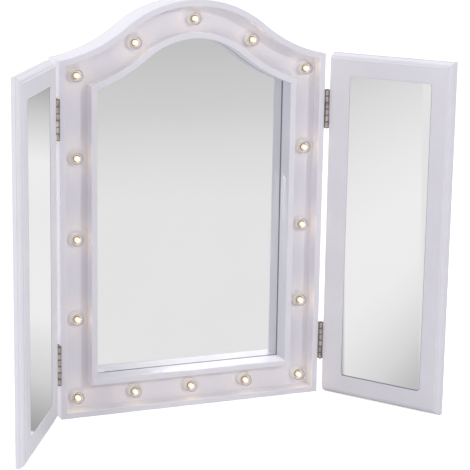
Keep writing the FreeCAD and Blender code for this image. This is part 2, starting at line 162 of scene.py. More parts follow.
class CentrePanelSizes(bpy.types.PropertyGroup):
    """Sizes of the arched centre panel that its box doesn't give."""
    crown_radius: length("Crown radius", "Radius of the round crown of the arched top", 0.1505)
    shoulder_radius: length("Shoulder radius", "Radius of the hollow shoulders beside the crown", 0.187)
    rim_edge: length("Rim edge", "Radius of the sanded front edges of both rims", 0.0009)
    silver_depth: length("Silver depth", "Depth at which the silvering shows through the glass", 0.0021)
    arch_steps: count("Arch steps", "Steps along each arc of the top", 22, 6)
    edge_steps: count("Edge steps", "Steps round each sanded edge", 4, 2)


class WingSizes(bpy.types.PropertyGroup):
    """Sizes of the two folding wings that their boxes don't give."""
    border: length("Border", "Width of the painted border round the mirror", 0.0288)
    pocket_depth: length("Pocket depth", "Depth of the mirror's pocket", 0.004)
    pocket_corner: length("Pocket corner", "Radius of the pocket's corners", 0.005)
    moulding_radius: length("Moulding radius", "Radius of the routed quarter round", 0.006)
    moulding_step: length("Moulding step", "Step on each side of the quarter round", 0.0012)
    board_edge: length("Board edge", "Radius of the sanded edges of the board", 0.00045)
    silver_depth: length("Silver depth", "Depth at which the silvering shows through the glass", 0.0003)
    glass_rim: length("Glass rim", "Width of the ground edge of the glass", 0.0004)
    corner_steps: count("Corner steps", "Steps round each corner", 8, 3)


class BulbSizes(bpy.types.PropertyGroup):
    """Sizes of one bulb: its collar, globe and LED."""
    flange_height: length("Flange height", "Height of the collar's foot flange", 0.002)
    rib_depth: length("Rib depth", "How far the collar's ribs stand out", 0.0005)
    globe_wall: length("Globe wall", "Thickness of the clear globe", 0.0008)
    # The ring round the LED's foot is painted shadow, standing in for shade in the socket
    shade_cup_width: length("Cup width", "Width of the bare ring round the LED's foot", 0.0010)
    turn_steps: count("Turn steps", "Steps round each bulb", 40, 12)


class FinishColours(bpy.types.PropertyGroup):
    """Colours of the finishes."""
    paint: colour("Paint", "Satin white paint on the panels", 0.79, 0.772, 0.835)
    paint_shade: colour("Paint shade", "Paint where it lies a little thinner", 0.768, 0.748, 0.812)
    # Lit and shaded copies of the paint: painted shade on the walls round the centre mirror, painted
    # light on the ledge below it
    paint_thin: colour("Thin paint", "Paint on the walls round the centre mirror", 0.71, 0.71, 0.78)
    paint_thin_shade: colour("Thin paint shade", "Clouds in that paint", 0.69, 0.69, 0.76)
    paint_thick: colour("Thick paint", "Paint run on to the ledge below the mirror", 0.90, 0.89, 0.935)
    # Painted shadow: dark paint on two sides of each wing mirror's joint, where the pocket's wall lies in
    # shade
    paint_gap: colour("Paint gap", "Shaded paint in the joint beside a wing mirror", 0.26, 0.26, 0.29)
    gap_shade: colour("Gap shade", "Clouds in that paint", 0.22, 0.22, 0.25)
    silver: colour("Silver", "Silvering of the mirrors", 0.905, 0.905, 0.912)
    glass_edge: colour("Glass edge", "Ground edge of the mirror glass", 0.08, 0.09, 0.115)
    nickel: colour("Nickel", "Dull nickel of the hinges", 0.58, 0.52, 0.50)
    # Dark nickel, for the worn streaks and also for the painted shade towards the hinges' outlines
    nickel_dark: colour("Dark nickel", "Worn streaks on the hinges", 0.17, 0.14, 0.132)
    zinc: colour("Zinc", "Zinc plate on the screws", 0.62, 0.60, 0.57)
    collar: colour("Collar", "White plastic of the bulb collars", 0.80, 0.77, 0.75)
    # A near-black brown, painted shadow in the socket round the LED's foot
    cup: colour("Cup", "Bare ring round the LED's foot", 0.15, 0.10, 0.07)
    dish: colour("Dish", "Plastic seat round the LED", 0.86, 0.80, 0.74)
    glow: colour("Glow", "Warm light of the LEDs", 1.0, 0.79, 0.42)
    core: colour("Core", "Hot middle of a lit LED", 1.0, 0.955, 0.82)
    limb: colour("Limb", "Outline of a lit LED", 0.74, 0.58, 0.40)
    resin: colour("Resin", "Resin of the LEDs", 0.20, 0.15, 0.10)
    resin_pale: colour("Pale resin", "Clouds in the resin", 0.26, 0.20, 0.13)
    # The globe colours are painted shade: the brownish grey at the globes' outlines, standing in for what
    # their rims refract
    globe: colour("Globe", "Clear plastic of the globes", 0.26, 0.19, 0.145)
    globe_pale: colour("Pale globe", "Ripples in the globes", 0.34, 0.25, 0.20)
    plastic: colour("Plastic", "White plastic of the battery box", 0.78, 0.775, 0.77)
    black: colour("Black", "Black plastic of the switch", 0.03, 0.03, 0.032)
    board: colour("Back board", "White coat on the hardboard back", 0.70, 0.685, 0.69)
    wood: colour("Softwood", "Planed softwood of the battens", 0.56, 0.38, 0.21)
    cell: colour("Cell", "Sleeve of the cells", 0.06, 0.065, 0.07)
    cell_shade: colour("Cell shade", "Clouds in that sleeve", 0.045, 0.05, 0.055)
    sleeve: colour("Sleeve", "Sleeving of the wires", 0.62, 0.62, 0.61)


class StageSettings(bpy.types.PropertyGroup):
    """The camera and the lights."""
    eye: bpy.props.FloatVectorProperty(name="Eye", description="Where the camera stands", size=3,
                                       default=(-0.7622, -1.99335, 0.6969), subtype="TRANSLATION")
    yaw: angle("Yaw", "Turn of the camera to the right", 22.5664)
    pitch: angle("Pitch", "Tilt of the camera down", 12.4118)
    roll: angle("Roll", "Roll of the camera", -0.9604)
    focal_pixels: level("Focal length", "Focal length in pixels", 1665.78)
    room_level: level("Room level", "Brightness of the room in front", 0.60)
    backdrop_level: level("Backdrop level", "Brightness of the room behind", 0.86)
    lamp_power: level("Lamp power", "Light of one LED on its trough", 0.0042, "POWER")


class Wire:
    """A node tree's socket. Arithmetic on it adds Math nodes to the tree."""

    def __init__(self, tree, socket=None):
        self.tree = tree
        self.socket = socket

    def node(self, kind, settings=None, inputs=None, output=0):
        """Adds a node, sets it up, joins its inputs and gives one of its outputs."""
        node = self.tree.nodes.new(kind)
        for name, value in (settings or {}).items():
            if name == "stops":
                elements = node.color_ramp.elements
                while len(elements) < len(value):
                    elements.new(1.0)
                for element, (position, shade) in zip(elements, value):
                    element.position = position
                    element.color = shade
            else:
                setattr(node, name, value)
        for name, value in (inputs or {}).items():
            if isinstance(value, Wire):
                self.tree.links.new(value.socket, node.inputs[name])
            else:
                node.inputs[name].default_value = value
        return Wire(self.tree, node.outputs[output] if len(node.outputs) else None)

    def math(self, operation, first, second):
        """The result of a Math node."""
        return self.node("ShaderNodeMath", {"operation": operation}, {0: first, 1: second})

    def __add__(self, other):
        return self.math("ADD", self, other)

    def __sub__(self, other):
        return self.math("SUBTRACT", self, other)

    def __rsub__(self, other):
        return self.math("SUBTRACT", other, self)

    def __mul__(self, other):
        return self.math("MULTIPLY", self, other)

    def __pow__(self, other):
        return self.math("POWER", self, other)

    __radd__ = __add__
    __rmul__ = __mul__


def mixed(factor, first, second):
    """A colour between two colours."""
    return factor.node("ShaderNodeMix", {"data_type": "RGBA"}, {0: factor, 6: first, 7: second},
                       output=2)


def noise(spot, scale, detail=2.0, roughness=0.5):
    """Cloudy values from 0 to 1 at so many clouds a metre."""
    return spot.node("ShaderNodeTexNoise", None,
                     {"Vector": spot, "Scale": scale, "Detail": detail, "Roughness": roughness})


def spread(value, low, high, first=0.0, last=1.0):
    """Maps a range of values to another and clamps it."""
    return value.node("ShaderNodeMapRange", {"clamp": True}, {
        "Value": value, "From Min": low, "From Max": high, "To Min": first, "To Max": last})


def stretched(spot, scale):
    """Object coordinates scaled by axis."""
    return spot.node("ShaderNodeMapping", None, {"Vector": spot, "Scale": scale})


def bumped(height, strength, distance):
    """A normal for a height in shares of a distance."""
    return height.node("ShaderNodeBump", None,
                       {"Strength": strength, "Distance": distance, "Height": height})


def split(vector, axis):
    """One part of a vector."""
    return vector.node("ShaderNodeSeparateXYZ", None, {"Vector": vector}, output=axis)


def turned_away(wire):
    """0 where a surface is seen square on, and 1 at its outline."""
    return wire.node("ShaderNodeLayerWeight", None, {"Blend": 0.5}, output="Facing")


def toned(shade, share):
    """A colour made darker or paler by a share."""
    return [min(1.0, share * part) for part in shade[:3]] + [1.0]


def finish(name, recipe, *values):
    """A material on Object coordinates, whose recipe gives a shader or the Principled shader's inputs."""
    material = bpy.data.materials.new(name)
    material.use_nodes = True
    tree = material.node_tree
    tree.nodes.clear()
    start = Wire(tree)
    surface = recipe(start.node("ShaderNodeTexCoord", output="Object"), *values)
    if isinstance(surface, dict):
        surface = start.node("ShaderNodeBsdfPrincipled", None, surface)
    start.node("ShaderNodeOutputMaterial", None, {"Surface": surface})
    return material


def satin_paint(spot, paint, shade, gloss=0.40):
    """Sprayed satin paint: faint clouds of colour, orange peel and a little unevenness of gloss."""
    cloud = spread(noise(spot, 22.0, 3.0), 0.3, 0.7)
    peel = noise(spot, 900.0, 1.0)
    wave = noise(spot, 140.0, 2.0)
    return {
        "Base Color": mixed(cloud, paint, shade),
        "Roughness": gloss + 0.10 * wave,
        "Specular IOR Level": 0.42,
        "Normal": bumped(0.6 * peel + 0.4 * wave, 0.10, 0.0004),
    }


def silvered_glass(spot, silver):
    """Silvering behind clear glass, with the faintest haze."""
    haze = spread(noise(spot, 9.0, 4.0), 0.35, 0.75)
    dust = spread(noise(spot, 1500.0, 1.0), 0.62, 0.8)
    return {
        "Base Color": mixed(haze, silver, toned(silver, 0.985)),
        "Metallic": 1.0,
        "Roughness": 0.004 + 0.008 * haze + 0.01 * dust,
    }


def ground_glass(spot, shade):
    """The ground edge of a sheet of glass."""
    grind = noise(spot, 2500.0, 2.0)
    return {
        "Base Color": mixed(grind, shade, toned(shade, 1.5)),
        "Roughness": 0.30 + 0.25 * grind,
        "Normal": bumped(grind, 0.2, 0.0002),
    }


def dull_nickel(spot, pale, dark):
    """Plated steel, drawn along its length and dulled by wear, with grime where the knuckles meet, and
    painted shade that darkens it towards its outline.
    """
    axis, feet, pitch = barrel_places()
    z = split(spot, "Z")
    foot = spread(z, feet[0] + 2 * KNUCKLES * pitch, feet[1] - KNUCKLES * pitch, feet[0], feet[1])
    seam = 1.0 - spread(z.math("PINGPONG", (z - foot) * (1.0 / pitch), 0.5), 0.05, 0.16)
    across = z.math("ABSOLUTE", split(spot, "X"), 0.0) - axis.x
    depth = split(spot, "Y") - axis.y
    barrel = 1.0 - spread(across * across + depth * depth, *BARREL_SQUARES)
    streak = noise(stretched(spot, (900.0, 900.0, 60.0)), 1.0, 3.0)
    tarnish = spread(noise(spot, 120.0, 3.0), 0.35, 0.7)
    facing = turned_away(spot)
    # Streaks and tarnish are wear; the share of facing is painted shade, darker towards the outline
    wear_and_outline_shade = spread(0.6 * streak + 0.25 * tarnish + 0.5 * facing + 0.4 * seam * barrel, 0.34, 0.76)
    return {
        "Base Color": mixed(wear_and_outline_shade, pale, dark),
        "Metallic": 1.0,
        "Roughness": 0.30 + 0.22 * streak,
        "Normal": bumped(streak, 0.12, 0.0003),
    }


def zinc_plate(spot, zinc):
    """Bright zinc with a fine crystal grain."""
    grain = noise(spot, 1800.0, 3.0)
    return {
        "Base Color": mixed(spread(grain, 0.35, 0.7), zinc, toned(zinc, 0.72)),
        "Metallic": 1.0,
        "Roughness": 0.26 + 0.2 * grain,
    }


def moulded_plastic(spot, shade, gloss, glow=0.0):
    """Moulded plastic with a spark-eroded grain, which may carry a faint painted glow, standing in for
    the light of a lamp inside it.
    """
    grain = noise(spot, 1600.0, 2.0)
    flow = spread(noise(spot, 35.0, 2.0), 0.3, 0.7)
    return {
        "Base Color": mixed(flow, shade, toned(shade, 0.93)),
        "Roughness": gloss + 0.12 * grain,
        # A painted glow in the plastic's own colour, where glow is above 0
        "Emission Color": shade,
        "Emission Strength": glow,
        "Normal": bumped(grain, 0.12, 0.0002),
    }


def clear_globe(spot, shade, pale):
    """Clear plastic: seen through in the middle; towards its outline it turns grey, a painted shade that
    stands in for what its rim refracts, and bright with gloss.
    """
    facing = turned_away(spot)
    ripple = noise(spot, 260.0, 1.0)
    return {
        "Base Color": mixed(ripple, shade, pale),
        "Roughness": 0.04 + 0.04 * ripple,
        "Specular IOR Level": 0.12,
        # The painted grey shows more towards the outline
        "Alpha": 0.01 + 0.9 * facing ** 3.6,
    }


def lit_led(spot, core, limb, shade, pale):
    """Warm white resin with the lamp on: hottest where it is seen square on."""
    facing = turned_away(spot)
    cloud = noise(spot, 700.0, 1.0)
    heat = mixed(spread(facing + 0.12 * cloud, 0.30, 0.95), core, limb)
    return {
        "Base Color": mixed(cloud, shade, pale),
        "Roughness": 0.25 + 0.1 * cloud,
        "Emission Color": heat,
        "Emission Strength": 0.92,
    }


def coated_hardboard(spot, shade):
    """Thin white coat over pressed fibre, so that the fibre still shows."""
    fibre = noise(stretched(spot, (420.0, 420.0, 150.0)), 1.0, 4.0, 0.65)
    cloud = spread(noise(spot, 14.0, 3.0), 0.3, 0.7)
    return {
        "Base Color": mixed(0.5 * cloud + 0.5 * fibre, shade, toned(shade, 0.90)),
        "Roughness": 0.55 + 0.2 * fibre,
        "Normal": bumped(fibre, 0.22, 0.0004),
    }


def planed_softwood(spot, shade):
    """Planed softwood with its grain along Z."""
    grain = noise(stretched(spot, (260.0, 260.0, 9.0)), 1.0, 4.0, 0.6)
    return {
        "Base Color": mixed(spread(grain, 0.4, 0.68), shade, toned(shade, 0.62)),
        "Roughness": 0.6 + 0.15 * grain,
        "Normal": bumped(grain, 0.2, 0.0004),
    }


def placed(name, data):
    """A new object of the scene."""
    thing = bpy.data.objects.new(name, data)
    bpy.context.scene.collection.objects.link(thing)
    return thing


def lamp(name, kind, place, power, **settings):
    """A new lamp of the scene."""
    light = placed(name, bpy.data.lights.new(name, kind))
    light.location = place
    light.data.energy = power
    for setting, value in settings.items():
        setattr(light.data, setting, value)
    return light


def shade_by_angle(mesh, degrees):
    """Smooth shading that breaks at the sharp edges."""
    mesh.shade_smooth()
    mesh.set_sharp_from_angle(angle=math.radians(degrees))


def piece_from(name, points, faces, materials, indices=None):
    """A closed piece from its points and faces, with its doubles merged and its faces outward."""
    mesh = bpy.data.meshes.new(name)
    mesh.from_pydata(points, [], faces)
    for material in materials:
        mesh.materials.append(material)
    if indices:
        mesh.polygons.foreach_set("material_index", indices)
    work = bmesh.new()
    work.from_mesh(mesh)
    bmesh.ops.remove_doubles(work, verts=work.verts, dist=MERGE_DISTANCE)
    bmesh.ops.recalc_face_normals(work, faces=work.faces)
    work.to_mesh(mesh)
    work.free()
    shade_by_angle(mesh, SHARP_ANGLE)
    return placed(name, mesh)


def made_plain(piece):
    """Makes what a piece's modifiers give its plain mesh."""
    graph = bpy.context.evaluated_depsgraph_get()
    mesh = bpy.data.meshes.new_from_object(piece.evaluated_get(graph), depsgraph=graph)
    mesh.name = piece.name
    piece.modifiers.clear()
    piece.data = mesh
    return piece


def settled(piece, edge=0.0):
    """Rounds a piece's sharp edges, evens its shading and makes the result its plain mesh."""
    if edge > 0:
        bevel = piece.modifiers.new("sanded_edges", "BEVEL")
        bevel.width = edge
        bevel.segments = 3
        bevel.limit_method = "ANGLE"
        bevel.angle_limit = math.radians(SHARP_ANGLE)
        bevel.use_clamp_overlap = True
    even = piece.modifiers.new("even_shading", "WEIGHTED_NORMAL")
    even.mode = "FACE_AREA"
    even.keep_sharp = True
    return made_plain(piece)


def dressed(piece, body, slot, *nodes):
    """Makes a piece ride on a body in place of CAD nodes, which it hides. The slot is not used."""
    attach(piece, body)
    if nodes:
        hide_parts(*nodes)
    return piece


def paint_nodes(finish_name, *nodes):
    """Gives CAD nodes a finish."""
    for node in nodes:
        slots = frame["nodes"][node].data.materials
        slots.clear()
        slots.append(finished(finish_name))


def grid_faces(rows, columns, rows_close, columns_close):
    """Quads over a grid of points, row by row, that may close on itself."""
    faces = []
    for row in range(rows if rows_close else rows - 1):
        for column in range(columns if columns_close else columns - 1):
            below = (row + 1) % rows
            beside = (column + 1) % columns
            faces.append((row * columns + column, row * columns + beside,
                          below * columns + beside, below * columns + column))
    return faces


def loft_strip(name, section, path, material):
    """A rim member: a closed section of insets and depths along a path, closed at its ends."""
    lines = [path(inset) for inset, depth in section]
    columns = len(lines[0])
    points = [(x, depth, z) for (inset, depth), line in zip(section, lines) for x, z in line]
    faces = grid_faces(len(section), columns, True, False)
    faces.append(tuple(row * columns for row in range(len(section))))
    faces.append(tuple(row * columns + columns - 1 for row in reversed(range(len(section)))))
    return piece_from(name, points, faces, [material])


def loft_rings(name, rings, materials, last_index=0):
    """A piece from closed rings of points, filled at its first and last ring."""
    columns = len(rings[0])
    points = [point for ring in rings for point in ring]
    faces = grid_faces(len(rings), columns, False, True)
    first = (len(rings) - 1) * columns
    faces.append(tuple(reversed(range(columns))))
    faces.append(tuple(range(first, first + columns)))
    indices = [0] * (len(faces) - 1) + [last_index]
    return piece_from(name, points, faces, materials, indices)


def silvered(node, rings, body):
    """A mirror of rings of glass, filled by its silvering, in place of its CAD node."""
    piece = loft_rings(f"{node}_silvered", rings, [finished("glass_edge"), finished("silver")], 1)
    dressed(settled(piece), body, "mirror_glass", node)


def turned_mesh(profile, steps, close_ends=True):
    """A turned shape about Z from radii and heights, with its ends closed at the axis."""
    points = []
    for radius, height in profile:
        for step in range(steps):
            turn = 2 * math.pi * step / steps
            points.append((radius * math.cos(turn), radius * math.sin(turn), height))
    faces = grid_faces(len(profile), steps, not close_ends, True)
    if close_ends:
        first = (len(profile) - 1) * steps
        faces.append(tuple(reversed(range(steps))))
        faces.append(tuple(range(first, first + steps)))
    return points, faces


def arc(centre, radius, start, end, steps):
    """Points of an arc in a plane, from one angle in degrees to another."""
    angles = [math.radians(start + (end - start) * step / steps) for step in range(steps + 1)]
    return [(centre[0] + radius * math.cos(a), centre[1] + radius * math.sin(a)) for a in angles]


class ArchLine:
    """The centre panel's outline, and lines inside it at an inset."""

    def __init__(self, sizes):
        self.half_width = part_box("outer_right_stile")[1].x
        self.shoulder_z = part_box("outer_right_stile")[1].z
        self.crown_radius = sizes.crown_radius
        self.shoulder_radius = sizes.shoulder_radius
        self.crown_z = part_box("outer_arch_rail")[1].z - sizes.crown_radius
        self.steps = sizes.arch_steps
        reach = self.crown_radius + self.shoulder_radius
        rise = self.shoulder_z - self.crown_z
        slant = math.hypot(self.half_width, rise)
        along = (reach ** 2 - self.shoulder_radius ** 2 + slant ** 2) / (2 * slant)
        across = math.sqrt(reach ** 2 - along ** 2)
        self.shoulder = ((along * self.half_width - across * rise) / slant,
                         self.crown_z + (along * rise + across * self.half_width) / slant)

    def corner(self, inset):
        """The right shoulder's corner at an inset."""
        x = self.half_width - inset
        drop = (self.shoulder_radius + inset) ** 2 - (x - self.shoulder[0]) ** 2
        return x, self.shoulder[1] - math.sqrt(drop)

    def top(self, inset):
        """The arched top at an inset, from left to right."""
        x, z = self.corner(inset)
        lean = math.degrees(math.atan2(self.shoulder[1] - self.crown_z, self.shoulder[0]))
        corner = math.degrees(math.atan2(z - self.shoulder[1], x - self.shoulder[0]))
        half = arc((0.0, self.crown_z), self.crown_radius - inset, 90.0, lean, self.steps)
        half += arc(self.shoulder, self.shoulder_radius + inset, lean - 180.0, corner, self.steps)[1:]
        return [(-px, pz) for px, pz in reversed(half)] + half[1:]

    def member(self, name, inset):
        """The line of one of the four members of a rim."""
        x, z = self.corner(inset)
        lines = {
            "left_stile": [(-x, inset), (-x, z)],
            "right_stile": [(x, inset), (x, z)],
            "bottom_rail": [(-x, inset), (x, inset)],
        }
        return lines[name] if name in lines else self.top(inset)

    def whole(self, inset):
        """The closed outline at an inset, from its left foot round to its right foot."""
        x = self.half_width - inset
        return [(-x, inset)] + self.top(inset) + [(x, inset)]


def rounded_loop(low, high, radius, steps):
    """A rectangle with round corners, from its lowest corner on, with as many points at any radius."""
    loop = []
    for x, z, turn in ((low[0], low[1], 180), (high[0], low[1], 270), (high[0], high[1], 0),
                       (low[0], high[1], 90)):
        centre = (x + radius * (1 if x == low[0] else -1), z + radius * (1 if z == low[1] else -1))
        loop += arc(centre, radius, turn, turn + 90, steps)
    return loop


def fold_joint(side):
    """The joint that folds a wing."""
    return next(joint for joint in frame["joints"] if joint["name"] == f"{side}_wing_fold")


class WingFrame:
    """Where a wing lies at rest: out from its hinge axis, back from the axis, and up."""

    def __init__(self, side):
        joint = fold_joint(side)
        fold = math.radians(180.0 - joint["range_deg"][1])
        way = -1.0 if side == "left" else 1.0
        self.axis = Vector(joint["pos_m"])
        self.out = Vector((way * math.cos(fold), -math.sin(fold), 0.0))
        self.back = Vector((way * math.sin(fold), math.cos(fold), 0.0))

    def box(self, node):
        """A node's lowest and highest places on the wing."""
        places = [(self.out.dot(v.co - self.axis), self.back.dot(v.co - self.axis), v.co.z)
                  for v in frame["nodes"][node].data.vertices]
        return [[pick(place[i] for place in places) for i in range(3)] for pick in (min, max)]

    def ring(self, box, insets, back, radius, steps):
        """A loop in the row frame, inside a box by insets at its hinge side and at its other sides."""
        low, high = box
        near, inset = insets
        loop = rounded_loop((low[0] + near, low[2] + inset), (high[0] - inset, high[2] - inset), radius,
                            steps)
        points = []
        for out, z in loop:
            place = self.axis + out * self.out + back * self.back
            points.append((place.x, place.y, z))
        return points


def solids_of(node):
    """The lowest and highest corners of each separate solid of a CAD node."""
    work = bmesh.new()
    work.from_mesh(frame["nodes"][node].data)
    bmesh.ops.remove_doubles(work, verts=work.verts, dist=MERGE_DISTANCE)
    unseen = set(work.verts)
    boxes = []
    while unseen:
        edge = [unseen.pop()]
        solid = list(edge)
        while edge:
            near = [e.other_vert(v) for v in edge for e in v.link_edges]
            edge = [v for v in set(near) if v in unseen]
            unseen.difference_update(edge)
            solid += edge
        boxes.append((Vector([min(v.co[i] for v in solid) for i in range(3)]),
                      Vector([max(v.co[i] for v in solid) for i in range(3)])))
    work.free()
    return sorted(boxes, key=lambda box: (round(box[0].z, 5), round(box[0].x, 5)))


def middle(box, depth):
    """The middle of a box, across and up, at a depth."""
    low, high = box
    return (low.x + high.x) / 2, depth, (low.z + high.z) / 2


def half_width(box):
    """Half the width of a box."""
    return (box[1].x - box[0].x) / 2


def repeat_tree():
    """Geometry Nodes that stand one shape on every point, turned to face its way."""
    tree = bpy.data.node_groups.new("stand_on_points", "GeometryNodeTree")
    tree.is_modifier = True
    for name, kind in (("Points", "Geometry"), ("Shape", "Object"), ("Finish", "Material"),
                       ("Turn", "Float"), ("Seed", "Int")):
        tree.interface.new_socket(name, in_out="INPUT", socket_type=f"NodeSocket{kind}")
    tree.interface.new_socket("Pieces", in_out="OUTPUT", socket_type="NodeSocketGeometry")
    start = Wire(tree)
    given = tree.nodes.new("NodeGroupInput")

    def asked(name):
        return Wire(tree, given.outputs[name])

    shape = start.node("GeometryNodeObjectInfo", None, {"Object": asked("Shape")}, output="Geometry")
    way = start.node("GeometryNodeInputNamedAttribute", {"data_type": "FLOAT_VECTOR"},
                     {"Name": "facing"})
    facing = start.node("FunctionNodeAlignRotationToVector", {"axis": "Z"}, {"Vector": way})
    turn = start.node("FunctionNodeRandomValue", {"data_type": "FLOAT"},
                      {2: 0.0, 3: asked("Turn"), "Seed": asked("Seed")}, output=1)
    spin = start.node("FunctionNodeAxisAngleToRotation", None, {"Axis": (0.0, 0.0, 1.0), "Angle": turn})
    stand = start.node("FunctionNodeRotateRotation", {"rotation_space": "LOCAL"},
                       {"Rotation": facing, "Rotate By": spin})
    copies = start.node("GeometryNodeInstanceOnPoints", None,
                        {"Points": asked("Points"), "Instance": shape, "Rotation": stand})
    solid = start.node("GeometryNodeRealizeInstances", None, {"Geometry": copies})
    done = start.node("GeometryNodeSetMaterial", None, {"Geometry": solid, "Material": asked("Finish")})
    start.node("NodeGroupOutput", None, {"Pieces": done})
    return tree


def repeated(name, shape, places, facing, material, turn=0.0, seed=7):
    """A plain mesh of a shape that Geometry Nodes stand on every place."""
    mesh = bpy.data.meshes.new(name)
    mesh.from_pydata(places, [], [])
    ways = mesh.attributes.new("facing", "FLOAT_VECTOR", "POINT")
    ways.data.foreach_set("vector", list(facing) * len(places))
    piece = placed(name, mesh)
    tree = bpy.data.node_groups.get("stand_on_points") or repeat_tree()
    modifier = piece.modifiers.new("stand_on_points", "NODES")
    modifier.node_group = tree
    values = {"Shape": shape, "Finish": material, "Turn": turn, "Seed": seed}
    for socket in tree.interface.items_tree:
        if socket.in_out == "INPUT" and socket.name in values:
            modifier[socket.identifier] = values[socket.name]
    made_plain(piece)
    bpy.data.objects.remove(shape)
    return piece


def barrel_places():
    """The right hinges' axis, the feet of their lower and upper barrels, and the knuckles' pitch."""
    low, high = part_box("right_lower_hinge_wing_leaf")
    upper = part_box("right_upper_hinge_wing_leaf")[0]
    return Vector(fold_joint("right")["pos_m"]), (low.z, upper.z), (high.z - low.z) / KNUCKLES


# The finishes by their short names: the material's name, its recipe, and that recipe's colours and levels
FINISHES = {
    "paint": ("satin_paint", satin_paint, ("paint", "paint_shade")),
    "thin_paint": ("thin_paint", satin_paint, ("paint_thin", "paint_thin_shade")),
    "thick_paint": ("thick_paint", satin_paint, ("paint_thick", "paint")),
    "gap_paint": ("gap_paint", satin_paint, ("paint_gap", "gap_shade")),
    "silver": ("silvered_glass", silvered_glass, ("silver",)),
    "glass_edge": ("ground_glass", ground_glass, ("glass_edge",)),
    "nickel": ("dull_nickel", dull_nickel, ("nickel", "nickel_dark")),
    "zinc": ("zinc_plate", zinc_plate, ("zinc",)),
    # The collars and dishes carry a faint painted glow of 0.10, standing in for the LEDs' light through
    # their plastic
    "collar": ("collar_plastic", moulded_plastic, ("collar",), 0.28, 0.10),
    "cup": ("led_cup", moulded_plastic, ("cup",), 0.35),
    "dish": ("led_dish", moulded_plastic, ("dish",), 0.45, 0.10),
    "globe": ("clear_globe", clear_globe, ("globe", "globe_pale")),
    "led": ("lit_led", lit_led, ("core", "limb", "resin", "resin_pale")),
    "plastic": ("white_plastic", moulded_plastic, ("plastic",), 0.42),
    "black": ("black_plastic", moulded_plastic, ("black",), 0.45),
    "board": ("coated_hardboard", coated_hardboard, ("board",)),
    "wood": ("planed_softwood", planed_softwood, ("wood",)),
    "cell": ("cell_sleeve", satin_paint, ("cell", "cell_shade"), 0.25),
    "sleeve": ("wire_sleeve", moulded_plastic, ("sleeve",), 0.5),
}


def finished(name):
    """A finish by its short name, made when it is first asked for."""
    key = f"finish:{name}"
    for material in bpy.data.materials:
        if material.get("finish") == key:
            return material
    label, recipe, shades, *values = FINISHES[name]
    colours = bpy.context.scene.mirror_colours
    material = finish(label, recipe, *[tuple(getattr(colours, shade)) for shade in shades], *values)
    material["finish"] = key
    return material


def rim_section(low, high, front, back, radius, steps):
    """A rim member's section: insets and depths, with its two front edges sanded round."""
    section = [(low, back)]
    section += arc((low + radius, front + radius), radius, 180, 270, steps)
    section += arc((high - radius, front + radius), radius, 270, 360, steps)
    section.append((high, back))
    return section


class MIRROR_OT_rims(bpy.types.Operator):
    """Makes the outer and the inner rim of the light trough, four members each"""
    bl_idname = "mirror.rims"
    bl_label = "Rims"

    def execute(self, context):
        sizes = context.scene.mirror_centre
        line = ArchLine(sizes)
        paint = finished("paint")
        for rim in ("outer", "inner"):
            low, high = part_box(f"{rim}_right_stile")
            inside = line.half_width - high.x
            section = rim_section(inside, line.half_width - low.x, low.y, high.y, sizes.rim_edge,
                                  sizes.edge_steps)
            for member in RIM_MEMBERS:
                node = f"{rim}_{member}"
                piece = loft_strip(f"{node}_painted", section, lambda inset: line.member(member, inset),
                                   paint)
                dressed(settled(piece), CENTRE, "white_paint", node)
        self.reveal(line, sizes)
        paint_nodes("paint", "light_board")
        return {"FINISHED"}

    def reveal(self, line, sizes):
        """The paint on the walls round the mirror, darker as painted shade and paler on the ledge as
        painted light, and the dark joint where they meet its silvering.
        """
        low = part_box("inner_right_stile")[0]
        wall = line.half_width - low.x
        skin = wall + PAINT_FILM
        front = low.y + FILM_START * sizes.rim_edge
        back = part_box("light_board")[1].y
        silver = back + sizes.silver_depth
        film = [(wall, front), (skin, front + PAINT_FILM), (skin, back), (wall, back)]
        joint = [(wall, back), (skin, back), (skin, silver), (wall, silver)]
        for member in RIM_MEMBERS + ("bottom_corner",):
            def path(inset):
                return self.wall(line, member, inset)

            # The ledge takes the paler paint as painted light, the other walls the darker paint as
            # painted shade
            paint = finished("thick_paint" if "bottom" in member else "thin_paint")
            piece = loft_strip(f"reveal_{member}", film, path, paint)
            dressed(settled(piece), CENTRE, "white_paint")
            piece = loft_strip(f"joint_{member}", joint, path, finished("glass_edge"))
            dressed(settled(piece), CENTRE, "mirror_glass")

    def wall(self, line, member, inset):
        """The line of a wall round the mirror, with the lower wall's left end apart."""
        if "bottom" not in member:
            return line.member(member, inset)
        (left, z), (right, z) = line.member("bottom_rail", inset)
        return [(left, z), (CORNER_X, z)] if member == "bottom_corner" else [(CORNER_X, z), (right, z)]


class MIRROR_OT_centre_glass(bpy.types.Operator):
    """Makes the centre mirror, with its silvering where it shows through the glass"""
    bl_idname = "mirror.centre_glass"
    bl_label = "Centre mirror"

    def execute(self, context):
        sizes = context.scene.mirror_centre
        line = ArchLine(sizes)
        low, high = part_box("centre_mirror")
        inset = line.half_width - high.x
        rim = context.scene.mirror_wings.glass_rim
        section = ((inset, high.y), (inset, low.y), (inset + rim, low.y),
                   (inset + rim, low.y + sizes.silver_depth))
        rings = [[(x, depth, z) for x, z in line.whole(inside)] for inside, depth in section]
        silvered("centre_mirror", rings, CENTRE)
        return {"FINISHED"}


